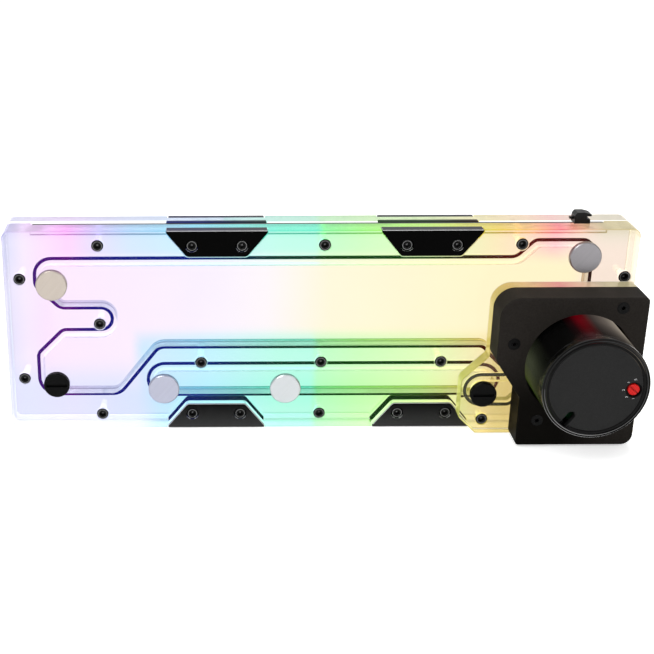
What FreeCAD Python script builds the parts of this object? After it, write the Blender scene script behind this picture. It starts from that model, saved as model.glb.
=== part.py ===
import FreeCAD, Part
import math
import os
from FreeCAD import Vector

os.makedirs("parts", exist_ok=True)

# Water cooling distribution plate, in millimetres. X runs along the plate, -Y is the front
# with the pump, +Z is up. The origin is under the middle of the whole part, at its base.

# Acrylic plates and the block that the pump sits on
plate_length = 400.0
side_height = 101.5
port_band = 34.5
plate_height = side_height + port_band
front_thickness = 18.0
back_thickness = 15.0
block_thickness = 10.2
plate_corner = 5.0
edge_break = 0.5

# Socket screws, with their threads shown as plain cylinders
m4_radius = 2.0
m4_head_radius = 3.8
m4_head_height = 3.6
m4_socket = 3.0
m4_socket_depth = 2.2
m4_flat_radius = 3.8
m4_flat_height = 2.2
m3_radius = 1.5
m3_flat_radius = 2.8
m3_flat_height = 1.5
thread_clearance = 0.05
hole_clearance = 0.2
head_clearance = 0.3
head_recess = 0.3
plate_screw_grip = 11.0
top_row_drop = 9.8
bottom_row_z = 10.0
left_column = 60.0
right_column_from_right = 73.6
upper_screw_drop = 31.7
upper_screw_left = 10.0
upper_screw_from_right = 7.0
lower_screw_z = 0.2625 * plate_height
middle_shift = 0.3
middle_pitch = 0.1945 * plate_length
middle_row_z = 0.3419 * plate_height
island_z = 0.5412 * plate_height

# Water ways milled in the front plate, with a wall left round them, and their seals
front_wall = 6.0
seal_to_wall = 3.3
seal_width = 2.0
seal_height = 1.8
groove_play = 0.2
seal_left = 18.5
seal_top_drop = 21.2
seal_foot_z = 20.2
seal_step_z = 0.3926 * plate_height
ramp_start = 71.4
ramp_end = 97.4
island_seal_radius = 7.5
upper_ramp = 0.1132 * plate_height
lower_ramp_z = 0.364 * plate_height
seal_corner = 0.081 * plate_height
seal_lobe_drop = 10.0
seal_lobe_from_right = 62.9
pump_bay_z = 0.2985 * plate_height
pump_bay_from_right = 78.0
channel_low = 19.4
channel_high = 0.3074 * plate_height
channel_left = 90.2

# Ports and plugs
port_row_drop = 1.7
port_radius = 6.6
plug_shank_radius = 6.5
plug_shank_length = 6.5
block_plug_shank = 5.0
chrome_plug_radius = 10.0
chrome_plug_height = 3.4
black_plug_radius = 8.4
black_plug_height = 3.8
black_plug_slot = 2.2
black_plug_slot_depth = 1.6
ring_inner = 6.5
ring_outer = 8.2
ring_height = 1.2
upper_left_port = (30.4, 35.0)
upper_right_port_from_right = 34.0
upper_right_port_drop = 17.8
lower_left_port = 100.7
lower_middle_port = 0.44975 * plate_length
drain_port = (31.0, 32.3)

# Brackets at the edges
bracket_from_left = 135.0
bracket_half_base = 0.0793 * plate_length
bracket_half_inner = 0.0475 * plate_length
bracket_height = 17.2
bracket_side = 1.6
bracket_round = 3.0
bracket_gap = 0.4
front_bracket_thickness = 7.0
nut_plate_thickness = 4.2
nut_plate_overlap = 0.2
rear_bracket_shrink = 0.8
nut_pocket_gap = 0.4
rear_bracket_thickness = 4.5
rear_pocket_gap = 0.6
bracket_screw_pitch = 31.5
bracket_screw_inset = 10.0
rear_screw_pitch = 12.0
case_screw_pitch = 24.0
case_screw_room = 4.0

# Light strip in a slot along the top edge, and its connector
slot_width = 4.0
slot_depth = 5.5
slot_ledge = 0.8
slot_ledge_depth = 1.0
slot_left = 17.0
slot_right_margin = 18.5
strip_width = 3.8
strip_thickness = 0.6
strip_end_gap = 1.0
chip_size = 2.8
chip_height = 1.4
chip_pitch = 16.5
connector_from_right = 39.0
connector_width = 10.5
connector_depth = 8.0
connector_height = 7.2
connector_front = 12.0
connector_leg = 6.0

# Pump side, seen from the front; distances run forward from the face of the pump block
housing_radius = 32.5
pump_from_right = housing_radius + 6.5
seal_right_margin = pump_from_right - 13.0
pump_z = 0.5586 * side_height
pump_plate_thickness = 19.8
motor_reach = 36.0
side_width = pump_from_right + 52.0
side_round = 13.0
foot_shoulder_z = 54.5
pump_plate_lift = 1.3
pump_plate_foot = pump_from_right + 35.4
bracket_from_right = pump_plate_foot + 55.6
foot_reach = 33.1
chamber_reach = 29.2
block_screw_reach = 17.8
transfer_reach = 16.6
channel_reach = 5.2
pump_plate_hole = housing_radius + 1.5
volute_radius = housing_radius - 7.0
volute_depth = 6.6
inlet_radius = 7.5
inlet_ring_inner = 9.4
inlet_ring_width = 2.0
chamber_depth = 5.0
chamber_seal_radius = 10.5
chamber_wall = 4.0
outlet_from_axis = 35.0
outlet_reach = 0.261084 * side_height
transfer_radius = 5.0
pump_ring_inner = housing_radius - 5.5
pump_ring_width = 2.2
can_flange_radius = housing_radius - 1.5
can_flange_height = 2.0
can_inner_radius = housing_radius - 13.3
can_wall = 1.0
can_depth = 16.2
post_radius = 1.8
ball_radius = 3.0
ball_distance = 4.0
ball_clearance = 0.05
rotor_gap = 0.8
rotor_disc_radius = housing_radius - 10.2
rotor_disc_thickness = 1.4
rotor_disc_gap = 0.4
rotor_skirt = 7.0
blade_count = 6
blade_height = 3.9
blade_thickness = 1.5
blade_inner = 7.0
blade_sweep = 55.0
magnet_wall = 5.0
magnet_length = 11.0
magnet_skin = 0.8
housing_wall = 2.2
housing_flange_radius = housing_radius + 3.5
housing_flange_height = 5.6
housing_bevel = 1.8
flange_clearance = 0.3
stator_start = 4.6
stator_end = 17.6
stator_play = 0.1
yoke_thickness = 3.4
tooth_count = 6
tooth_width = 6.0
tooth_tip_thickness = 1.5
tooth_tip_angle = 44.0
can_to_tooth = 0.4
coil_build = 2.2
coil_gap = 0.1
coil_length = 3.6
board_thickness = 1.6
board_radius = housing_radius - 5.0
post_length = 6.0
post_circle = housing_radius - 9.0
post_thickness = 4.0
cap_thickness = 3.8
cap_setback = 0.6
cap_radius = housing_radius - 2.7
cap_play = 0.1
ledge_width = 1.5
ledge_height = 1.5
dial_offset = (housing_radius - 9.8, -0.9)
dial_radius = 3.5
dial_height = 2.4
dial_recess_radius = 5.0
dial_recess_depth = 2.8
dial_stem_radius = 1.2
dial_stem_play = 0.06
dial_stem_length = 3.6
dial_slot = 0.9
dial_slot_depth = 1.2
dial_slot_angle = 40.0
trimmer_radius = 3.4
notch_width = 5.0
notch_inner = housing_radius - 13.1
notch_angle = 233.0
pump_screw_circle = 44.4
pump_screw_angles = (161.0, 59.0, -59.0, -121.0)
pump_screw_grip = 6.4

# Planes and edges worked out from the sizes above
plate_depth = front_thickness + back_thickness
pump_reach = block_thickness + pump_plate_thickness + motor_reach
face_y = (pump_reach - plate_depth) / 2
joint_y = face_y + front_thickness
rear_y = joint_y + back_thickness
block_y = face_y - block_thickness
clamp_y = block_y - pump_plate_thickness
motor_length = pump_plate_thickness + motor_reach
left = -plate_length / 2
right = plate_length / 2
top = plate_height
pump_x = right - pump_from_right
port_row_z = (channel_low + channel_high) / 2 - port_row_drop
middle_x = (left + bracket_from_left + right - bracket_from_right) / 2 + middle_shift
clamp_foot = right - pump_plate_foot


def rounded_wire(corners):
    """Closed outline in the XZ plane through corners (x, z, radius)."""
    starts = []
    ends = []
    arcs = []
    count = len(corners)
    for i in range(count):
        x, z, radius = corners[i]
        here = Vector(x, 0, z)
        before = Vector(corners[i - 1][0], 0, corners[i - 1][1])
        after = Vector(corners[(i + 1) % count][0], 0, corners[(i + 1) % count][1])
        back = (before - here).normalize()
        ahead = (after - here).normalize()
        half = back.getAngle(ahead) / 2
        if radius <= 0:
            starts.append(here)
            ends.append(here)
            arcs.append(None)
            continue
        reach = radius / math.tan(half)
        bisector = (back + ahead).normalize()
        centre = here + bisector * (radius / math.sin(half))
        start = here + back * reach
        end = here + ahead * reach
        starts.append(start)
        ends.append(end)
        arcs.append(Part.Arc(start, centre - bisector * radius, end).toShape())
    edges = []
    for i in range(count):
        if arcs[i]:
            edges.append(arcs[i])
        following = starts[(i + 1) % count]
        if (following - ends[i]).Length > 0.001:
            edges.append(Part.LineSegment(ends[i], following).toShape())
    return Part.Wire(edges)


def moved_corners(corners, distance):
    """The outline moved inwards by distance; a negative distance moves it outwards."""
    count = len(corners)
    area = 0.0
    for i in range(count):
        x0, z0 = corners[i][0], corners[i][1]
        x1, z1 = corners[(i + 1) % count][0], corners[(i + 1) % count][1]
        area += x0 * z1 - x1 * z0
    side = 1.0 if area > 0 else -1.0
    result = []
    for i in range(count):
        x, z, radius = corners[i]
        xa, za = corners[i - 1][0], corners[i - 1][1]
        xb, zb = corners[(i + 1) % count][0], corners[(i + 1) % count][1]
        in_length = math.hypot(x - xa, z - za)
        out_length = math.hypot(xb - x, zb - z)
        in_dir = ((x - xa) / in_length, (z - za) / in_length)
        out_dir = ((xb - x) / out_length, (zb - z) / out_length)
        in_normal = (-in_dir[1] * side, in_dir[0] * side)
        out_normal = (-out_dir[1] * side, out_dir[0] * side)
        scale = distance / (1 + in_normal[0] * out_normal[0] + in_normal[1] * out_normal[1])
        shift_x = (in_normal[0] + out_normal[0]) * scale
        shift_z = (in_normal[1] + out_normal[1]) * scale
        turn = (in_dir[0] * out_dir[1] - in_dir[1] * out_dir[0]) * side
        new_radius = radius - distance if turn > 0 else radius + distance
        result.append((x + shift_x, z + shift_z, max(new_radius, 0.0)))
    return result


def slab(corners, y_from, y_to):
    """Plate with the given outline between two depths."""
    face = Part.Face(rounded_wire(corners))
    face.translate(Vector(0, y_from, 0))
    return face.extrude(Vector(0, y_to - y_from, 0))


def disc(x, z, radius, y_from, y_to):
    """Round bar along Y between two depths."""
    low = min(y_from, y_to)
    return Part.makeCylinder(radius, abs(y_to - y_from), Vector(x, low, z), Vector(0, 1, 0))


def tube(x, z, inner, outer, y_from, y_to):
    """Round ring along Y between two depths."""
    return disc(x, z, outer, y_from, y_to).cut(disc(x, z, inner, y_from, y_to))


def box(x_from, x_to, y_from, y_to, z_from, z_to):
    """Box between two corners."""
    size = (x_to - x_from, y_to - y_from, z_to - z_from)
    return Part.makeBox(size[0], size[1], size[2], Vector(x_from, y_from, z_from))


def hexagon(x, z, across_flats, y_from, y_to):
    """Hexagonal bar along Y."""
    radius = across_flats / math.sqrt(3)
    points = [
        Vector(x + radius * math.cos(math.radians(a)), y_from, z + radius * math.sin(math.radians(a)))
        for a in range(30, 391, 60)
    ]
    return Part.Face(Part.makePolygon(points)).extrude(Vector(0, y_to - y_from, 0))


def ring_slab(corners, width, y_from, y_to):
    """Band of the given width along an outline, between two depths."""
    outer = slab(moved_corners(corners, -width / 2), y_from, y_to)
    return outer.cut(slab(moved_corners(corners, width / 2), y_from, y_to))


def turned(profile):
    """Solid turned about the pump axis from (radius, distance in front of the block) points."""
    points = [Vector(pump_x + r, block_y - s, pump_z) for r, s in profile]
    face = Part.Face(Part.makePolygon(points + points[:1]))
    return face.revolve(Vector(pump_x, 0, pump_z), Vector(0, 1, 0), 360)


def cap_screw(x, z, y_head, y_end):
    """Socket head screw pointing to +Y with its head's face at y_head."""
    y_neck = y_head + m4_head_height
    head = disc(x, z, m4_head_radius, y_head, y_neck)
    shank = disc(x, z, m4_radius, y_neck, y_end)
    return head.fuse(shank).cut(hexagon(x, z, m4_socket, y_head, y_head + m4_socket_depth))


def head_hole(x, z, y_face):
    """Counterbore that takes the screw's head just under a face."""
    depth = head_recess + m4_head_height
    return disc(x, z, m4_head_radius + head_clearance, y_face, y_face + depth)


def flat_screw(x, z, y_head, y_end, radius, head_radius, head_height, across_flats):
    """Countersunk screw along Y with its flat head at y_head."""
    way = 1.0 if y_end > y_head else -1.0
    y_neck = y_head + way * head_height
    axis = Vector(0, way, 0)
    head = Part.makeCone(head_radius, radius, head_height, Vector(x, y_head, z), axis)
    shank = disc(x, z, radius, y_neck, y_end)
    return head.fuse(shank).cut(hexagon(x, z, across_flats, y_head, y_head + way * head_height))


def flat_head_hole(x, z, y_head, y_end, radius, head_radius, head_height):
    """Countersink and clearance hole for a flat screw."""
    way = 1.0 if y_end > y_head else -1.0
    axis = Vector(0, way, 0)
    cone = Part.makeCone(
        head_radius + hole_clearance, radius + hole_clearance, head_height, Vector(x, y_head, z), axis
    )
    return cone.fuse(disc(x, z, radius + hole_clearance, y_head, y_end))


def save(name, shapes):
    """Write one node; a list is a group of separate solids."""
    shape = Part.makeCompound(shapes) if isinstance(shapes, list) else shapes
    shape.exportStep("parts/" + name + ".step")


# Outlines of the plates, the seals and the pump side

plate_outline = [
    (left, 0, plate_corner),
    (right, 0, plate_corner),
    (right, top, plate_corner),
    (left, top, plate_corner),
]

seal_top = top - seal_top_drop
lobe_top = top - seal_lobe_drop
lobe_x = right - seal_lobe_from_right
leg_x = left + seal_left
island_x = left + left_column + island_seal_radius
island_top = island_z + island_seal_radius
island_foot = island_z - island_seal_radius
bay_x = right - pump_bay_from_right
bay_right = right - seal_right_margin
reservoir_loop = [
    (leg_x, seal_foot_z, 12.0),
    (left + ramp_start, seal_foot_z, 10.0),
    (left + ramp_end, seal_step_z, 8.0),
    (bay_x - (seal_step_z - pump_bay_z), seal_step_z, 6.0),
    (bay_x, pump_bay_z, 8.0),
    (bay_right, pump_bay_z, 10.0),
    (bay_right, lobe_top, 7.0),
    (lobe_x, lobe_top, 6.0),
    (lobe_x - (lobe_top - seal_top), seal_top, 8.0),
    (leg_x, seal_top, seal_corner),
    (leg_x, island_top + upper_ramp, 6.0),
    (leg_x + upper_ramp, island_top, 8.0),
    (island_x, island_top, island_seal_radius),
    (island_x, island_foot, island_seal_radius),
    (leg_x + island_foot - lower_ramp_z, island_foot, 6.0),
    (leg_x, lower_ramp_z, 6.0),
]

channel_half = (channel_high - channel_low) / 2
channel_start = left + channel_left
channel_end = clamp_foot - channel_reach
channel_loop = [
    (channel_start, channel_low, channel_half),
    (channel_end, channel_low, channel_half),
    (channel_end, channel_high, channel_half),
    (channel_start, channel_high, channel_half),
]

# The outlet chamber is a finger that runs up under the rim of the volute
chamber_left = clamp_foot - chamber_reach
chamber_low = port_row_z - chamber_seal_radius
chamber_high = port_row_z + chamber_seal_radius
finger_width = 2 * chamber_seal_radius * 0.83
finger_side = finger_width * math.sqrt(0.5)
finger_start = pump_x - outlet_from_axis
tip_low = (finger_start + outlet_reach, chamber_low + outlet_reach)
tip_high = (tip_low[0] - finger_side, tip_low[1] + finger_side)
elbow_x = tip_high[0] - (tip_high[1] - chamber_high)
chamber_loop = [
    (chamber_left, chamber_low, chamber_seal_radius - 0.01),
    (finger_start, chamber_low, 6.0),
    (tip_low[0], tip_low[1], 5.0),
    (tip_high[0], tip_high[1], 5.0),
    (elbow_x, chamber_high, 4.0),
    (chamber_left, chamber_high, chamber_seal_radius - 0.01),
]

side_left = right - side_width
foot_left = clamp_foot - foot_reach
block_outline = [
    (foot_left, 11.5, 3.0),
    (foot_left + 11.5, 0, 2.0),
    (right, 0, 7.0),
    (right, side_height, 3.0),
    (side_left, side_height, side_round),
    (side_left, foot_shoulder_z, 4.0),
    (foot_left, foot_shoulder_z - (side_left - foot_left), 5.0),
]
pump_plate_outline = [
    (clamp_foot, pump_plate_lift, 2.0),
    (right, pump_plate_lift, 7.0),
    (right, side_height, 3.0),
    (side_left, side_height, side_round),
    (side_left, 59.5, 4.0),
    (clamp_foot, 34.6, 4.0),
]


def bracket_outline(centre_x, upper, grow, overrun):
    """Trapezium on a short square foot at one edge, grown by a gap and run past the edge."""
    edge_z = top if upper else 0.0
    way = -1.0 if upper else 1.0
    half_base = bracket_half_base + grow
    half_inner = bracket_half_inner + 0.5 * grow
    near_z = edge_z - way * overrun
    side_z = edge_z + way * (bracket_side + 0.35 * grow)
    far_z = edge_z + way * (bracket_height + grow)
    near_round = 0.0 if overrun > 0 else 0.5
    corners = [
        (centre_x - half_base, near_z, near_round),
        (centre_x + half_base, near_z, near_round),
        (centre_x + half_base, side_z, 0.5),
        (centre_x + half_inner, far_z, bracket_round + grow),
        (centre_x - half_inner, far_z, bracket_round + grow),
        (centre_x - half_base, side_z, 0.5),
    ]
    return corners if not upper else corners[::-1]


def bracket_holes(centre_x, upper, pitch):
    """Two hole centres of one bracket."""
    z = top - bracket_screw_inset if upper else bracket_screw_inset
    return [(centre_x - pitch / 2, z), (centre_x + pitch / 2, z)]


def broken_edges(shape, y_face, size):
    """Edges of the outline at one face broken with a small chamfer."""
    rim = []
    for edge in shape.Edges:
        bounds = edge.BoundBox
        if abs(bounds.YMin - y_face) < 0.01 and bounds.YLength < 0.01:
            rim.append(edge)
    return shape.makeChamfer(size, rim)


bracket_places = []
for side_name, place_x in (("left", left + bracket_from_left), ("right", right - bracket_from_right)):
    for level_name, is_upper in (("top", True), ("bottom", False)):
        bracket_places.append((level_name + "_" + side_name, place_x, is_upper))

plate_screws = [
    (left + left_column, top - top_row_drop),
    (middle_x, top - top_row_drop),
    (right - right_column_from_right, top - top_row_drop),
    (left + upper_screw_left, top - upper_screw_drop),
    (right - upper_screw_from_right, top - upper_screw_drop),
    (left + left_column, island_z),
    (left + upper_screw_left, lower_screw_z),
    (middle_x - middle_pitch, middle_row_z),
    (middle_x, middle_row_z),
    (middle_x + middle_pitch, middle_row_z),
    (left + left_column, bottom_row_z),
    (middle_x, bottom_row_z),
]
block_screw = (clamp_foot - block_screw_reach, bottom_row_z)
pump_screws = []
for angle in pump_screw_angles:
    turn = math.radians(angle)
    screw_x = pump_x + pump_screw_circle * math.cos(turn)
    screw_z = pump_z + pump_screw_circle * math.sin(turn)
    pump_screws.append((screw_x, screw_z))
transfer_spot = (clamp_foot - transfer_reach, port_row_z)
block_port = (chamber_left + chamber_seal_radius, port_row_z)
chrome_ports = [
    ("upper_left", left + upper_left_port[0], top - upper_left_port[1]),
    ("upper_right", right - upper_right_port_from_right, top - upper_right_port_drop),
    ("lower_left", left + lower_left_port, port_row_z),
    ("lower_middle", left + lower_middle_port, port_row_z),
]
drain = (left + drain_port[0], drain_port[1])

# Front plate: clear sheet with the water ways and seal grooves milled into its back face
slot_floor = top - slot_depth
slot_right = right - slot_right_margin
strip_z = top - slot_ledge_depth
groove_width = seal_width + 2 * groove_play
groove_y = joint_y - seal_height
front = broken_edges(slab(plate_outline, face_y, joint_y), face_y, edge_break)
cuts = [
    slab(moved_corners(reservoir_loop, seal_to_wall), face_y + front_wall, joint_y),
    slab(moved_corners(channel_loop, seal_to_wall), face_y + front_wall, joint_y),
    ring_slab(reservoir_loop, groove_width, groove_y, joint_y),
    ring_slab(channel_loop, groove_width, groove_y, joint_y),
    box(left + slot_left, slot_right, joint_y - slot_width, joint_y, strip_z, top + 1.0),
    box(left + slot_left, slot_right, joint_y - slot_width + slot_ledge, joint_y, slot_floor, top + 1.0),
    disc(pump_x, pump_z, inlet_radius, face_y, joint_y),
    disc(transfer_spot[0], transfer_spot[1], transfer_radius, face_y, joint_y),
    disc(drain[0], drain[1], port_radius, face_y, face_y + front_wall + 1.0),
]
for name, x, z in chrome_ports:
    cuts.append(disc(x, z, port_radius, face_y, face_y + front_wall + 1.0))
for x, z in plate_screws:
    cuts.append(head_hole(x, z, face_y))
    cuts.append(disc(x, z, m4_radius + hole_clearance, face_y, joint_y))
for x, z in pump_screws + [block_screw]:
    cuts.append(disc(x, z, m4_radius + thread_clearance, face_y, face_y + pump_screw_grip + 0.6))
for name, x, is_upper in bracket_places:
    pocket = bracket_outline(x, is_upper, bracket_gap, 1.0)
    cuts.append(slab(pocket, face_y, face_y + front_bracket_thickness))
    for hole_x, hole_z in bracket_holes(x, is_upper, bracket_screw_pitch):
        cuts.append(disc(hole_x, hole_z, m4_radius + hole_clearance, face_y, joint_y))
save("front_plate", front.cut(cuts))

# Back plate: clear sheet that closes the water ways, with the pockets for the nut plates in its
# front face and the pockets for the rear brackets in its back
nut_y = joint_y + nut_plate_thickness
rear_bracket_y = rear_y - rear_bracket_thickness
back = broken_edges(slab(plate_outline, joint_y, rear_y), rear_y, edge_break)
cuts = []
for x, z in plate_screws:
    cuts.append(disc(x, z, m4_radius + thread_clearance, joint_y, joint_y + plate_screw_grip + 1.0))
for name, x, is_upper in bracket_places:
    nut_pocket = bracket_outline(x, is_upper, nut_pocket_gap + nut_plate_overlap, 1.0)
    rear_pocket = bracket_outline(x, is_upper, rear_pocket_gap - rear_bracket_shrink, 1.0)
    cuts.append(slab(nut_pocket, joint_y, nut_y))
    cuts.append(slab(rear_pocket, rear_bracket_y, rear_y))
    for hole_x, hole_z in bracket_holes(x, is_upper, rear_screw_pitch):
        cuts.append(disc(hole_x, hole_z, m3_radius + hole_clearance, nut_y, rear_bracket_y))
    for hole_x, hole_z in bracket_holes(x, is_upper, case_screw_pitch):
        room_y = rear_bracket_y - case_screw_room
        cuts.append(disc(hole_x, hole_z, m4_radius + hole_clearance, room_y, rear_y))
save("back_plate", back.cut(cuts))

# Seal cords, pressed to the depth of their grooves
save("reservoir_seal", ring_slab(reservoir_loop, seal_width, groove_y, joint_y))
save("channel_seal", ring_slab(channel_loop, seal_width, groove_y, joint_y))

# Brackets: a clamp in the front pocket is screwed through the front plate into a nut plate
# that lies between the acrylic plates; the rear bracket is screwed to the nut plate from behind
nut_plates = []
clamp_screws = []
rear_screws = []
for name, x, is_upper in bracket_places:
    clamp = slab(bracket_outline(x, is_upper, 0.0, 0.0), face_y, face_y + front_bracket_thickness)
    clamp = broken_edges(clamp, face_y, 0.4)
    nut = slab(bracket_outline(x, is_upper, nut_plate_overlap, 0.0), joint_y, nut_y)
    rear = slab(bracket_outline(x, is_upper, -rear_bracket_shrink, 0.0), rear_bracket_y, rear_y)
    for hole_x, hole_z in bracket_holes(x, is_upper, bracket_screw_pitch):
        bore = disc(hole_x, hole_z, m4_radius + hole_clearance, face_y, joint_y)
        clamp = clamp.cut([head_hole(hole_x, hole_z, face_y), bore])
        nut = nut.cut(disc(hole_x, hole_z, m4_radius + thread_clearance, joint_y, nut_y))
        clamp_screws.append(cap_screw(hole_x, hole_z, face_y + head_recess, nut_y - 0.2))
    for hole_x, hole_z in bracket_holes(x, is_upper, case_screw_pitch):
        rear = rear.cut(disc(hole_x, hole_z, m4_radius, rear_bracket_y, rear_y))
    for hole_x, hole_z in bracket_holes(x, is_upper, rear_screw_pitch):
        nut = nut.cut(disc(hole_x, hole_z, m3_radius + thread_clearance, joint_y, nut_y))
        sizes = (m3_radius, m3_flat_radius, m3_flat_height)
        rear = rear.cut(flat_head_hole(hole_x, hole_z, rear_y, rear_bracket_y, *sizes))
        rear_screws.append(flat_screw(hole_x, hole_z, rear_y, joint_y + 0.4, *sizes, 2.0))
    nut_plates.append(nut)
    save("front_bracket_" + name, clamp)
    save("rear_bracket_" + name, rear)
save("nut_plates", nut_plates)
save("front_bracket_screws", clamp_screws)
save("rear_bracket_screws", rear_screws)

# Screws that hold the two plates together, and the one in the foot of the pump block
screws = [cap_screw(x, z, face_y + head_recess, joint_y + plate_screw_grip) for x, z in plate_screws]
save("plate_screws", screws)
save("block_screw", cap_screw(*block_screw, block_y + head_recess, face_y + pump_screw_grip))


# Port plugs, each seated on a face and sealed by a ring let into its head
def port_plug(x, z, y_seat, radius, height, shank):
    """Threaded plug with its head in front of the seat."""
    head = broken_edges(disc(x, z, radius, y_seat - height, y_seat), y_seat - height, 0.6)
    body = head.fuse(disc(x, z, plug_shank_radius, y_seat, y_seat + shank))
    return body.cut(tube(x, z, ring_inner, ring_outer, y_seat - ring_height, y_seat))


rings = []
for name, x, z in chrome_ports:
    plug = port_plug(x, z, face_y, chrome_plug_radius, chrome_plug_height, plug_shank_length)
    save("chrome_plug_" + name, plug)
    rings.append(tube(x, z, ring_inner, ring_outer, face_y - ring_height, face_y))
black_ports = (
    ("drain_plug", drain, face_y, plug_shank_length),
    ("block_plug", block_port, block_y, block_plug_shank),
)
for name, spot, seat, shank in black_ports:
    plug = port_plug(spot[0], spot[1], seat, black_plug_radius, black_plug_height, shank)
    head_y = seat - black_plug_height
    half = black_plug_slot / 2
    reach = black_plug_radius - 1.6
    slot_y = head_y + black_plug_slot_depth
    slot = box(spot[0] - reach, spot[0] + reach, head_y, slot_y, spot[1] - half, spot[1] + half)
    save(name, plug.cut(slot))
    rings.append(tube(spot[0], spot[1], ring_inner, ring_outer, seat - ring_height, seat))
save("port_rings", rings)

# Light strip: a board on the ledge of the slot, with chips under it that shine into the acrylic
strip_left = left + slot_left + strip_end_gap
strip_right = slot_right - strip_end_gap
strip_y = joint_y - (slot_width + strip_width) / 2
strip = box(strip_left, strip_right, strip_y, strip_y + strip_width, strip_z, strip_z + strip_thickness)
save("light_strip", strip)
chips = []
chip_count = int((strip_right - strip_left) // chip_pitch)
chip_start = (strip_left + strip_right - (chip_count - 1) * chip_pitch) / 2
chip_y = joint_y - (slot_width - slot_ledge + chip_size) / 2
for i in range(chip_count):
    x = chip_start + i * chip_pitch - chip_size / 2
    chips.append(box(x, x + chip_size, chip_y, chip_y + chip_size, strip_z - chip_height, strip_z))
save("light_chips", chips)

# Connector of the light strip: a leg in the slot and a plug body with two prongs and a latch tab
plug_x = right - connector_from_right
plug_end = plug_x + connector_width
plug_top = top + connector_height
profile = [
    (plug_x, top, 0.0),
    (plug_end - 0.6, top, 0.0),
    (plug_end - 0.6, top + 3.0, 0.6),
    (plug_x + 7.6, top + 3.0, 0.0),
    (plug_x + 7.6, top + 4.7, 0.0),
    (plug_end, top + 4.7, 0.5),
    (plug_end, top + 6.1, 0.5),
    (plug_x + 6.4, plug_top, 0.8),
    (plug_x + 1.4, plug_top, 0.8),
    (plug_x, top + 5.2, 0.8),
]
plug_y = face_y + connector_front
body = slab(profile, plug_y, plug_y + connector_depth)
tab = box(plug_x - 2.4, plug_x + 1.0, plug_y + 2.6, plug_y + 5.0, top + 2.4, top + 3.8)
leg_z = strip_z + strip_thickness
leg_left = plug_x + 2.0
leg = box(leg_left, leg_left + connector_leg, strip_y, strip_y + strip_width, leg_z, top + 1.0)
save("light_connector", body.fuse([tab, leg]))

# Pump block: clear block with the volute in front and the outlet chamber in its back
chamber_floor = face_y - chamber_depth
volute_floor = block_y + volute_depth
block = broken_edges(slab(block_outline, block_y, face_y), block_y, edge_break)
cuts = [
    disc(pump_x, pump_z, volute_radius, block_y, volute_floor),
    disc(pump_x, pump_z, inlet_radius, block_y, face_y),
    slab(moved_corners(chamber_loop, chamber_wall), chamber_floor, face_y),
    ring_slab(chamber_loop, groove_width, face_y - seal_height, face_y),
    tube(
        pump_x, pump_z, inlet_ring_inner, inlet_ring_inner + inlet_ring_width + groove_play,
        face_y - seal_height, face_y
    ),
    tube(
        pump_x, pump_z, pump_ring_inner, pump_ring_inner + pump_ring_width + groove_play,
        block_y, block_y + seal_height
    ),
    disc(block_port[0], block_port[1], port_radius, block_y, face_y),
    head_hole(block_screw[0], block_screw[1], block_y),
    disc(block_screw[0], block_screw[1], m4_radius + hole_clearance, block_y, face_y),
]
for x, z in pump_screws:
    cuts.append(disc(x, z, m4_radius + hole_clearance, block_y, face_y))
save("pump_block", block.cut(cuts))
chamber_seal = ring_slab(chamber_loop, seal_width, face_y - seal_height, face_y)
inlet_ring_outer = inlet_ring_inner + inlet_ring_width
save("chamber_seal", chamber_seal)
save("inlet_ring", tube(pump_x, pump_z, inlet_ring_inner, inlet_ring_outer, face_y - seal_height, face_y))
pump_ring_outer = pump_ring_inner + pump_ring_width
save("pump_ring", tube(pump_x, pump_z, pump_ring_inner, pump_ring_outer, block_y, block_y + seal_height))

# Pump plate: clamps the flange of the motor housing on the block
plate = broken_edges(slab(pump_plate_outline, clamp_y, block_y), clamp_y, edge_break)
flange_room = housing_flange_height + 0.1
cuts = [
    disc(pump_x, pump_z, pump_plate_hole, clamp_y, block_y),
    disc(pump_x, pump_z, housing_flange_radius + flange_clearance, block_y - flange_room, block_y),
]
clamp_bolts = []
for x, z in pump_screws:
    sizes = (m4_radius, m4_flat_radius, m4_flat_height)
    cuts.append(flat_head_hole(x, z, clamp_y, block_y, *sizes))
    clamp_bolts.append(flat_screw(x, z, clamp_y, face_y + pump_screw_grip, *sizes, 2.5))
save("pump_plate", plate.cut(cuts))
save("pump_plate_screws", clamp_bolts)

# Separating can: keeps the water off the stator, with a post for the bearing ball
can_outer = can_inner_radius + can_wall
can = turned([
    (can_inner_radius, 0.0), (can_flange_radius, 0.0), (can_flange_radius, can_flange_height),
    (can_outer, can_flange_height), (can_outer, can_depth + can_wall), (0.0, can_depth + can_wall),
    (0.0, ball_distance), (post_radius, ball_distance), (post_radius, can_depth),
    (can_inner_radius, can_depth),
])
ball = Part.makeSphere(ball_radius, Vector(pump_x, block_y - ball_distance, pump_z))
save("separating_can", can.cut(ball))
save("bearing_ball", ball)

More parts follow.
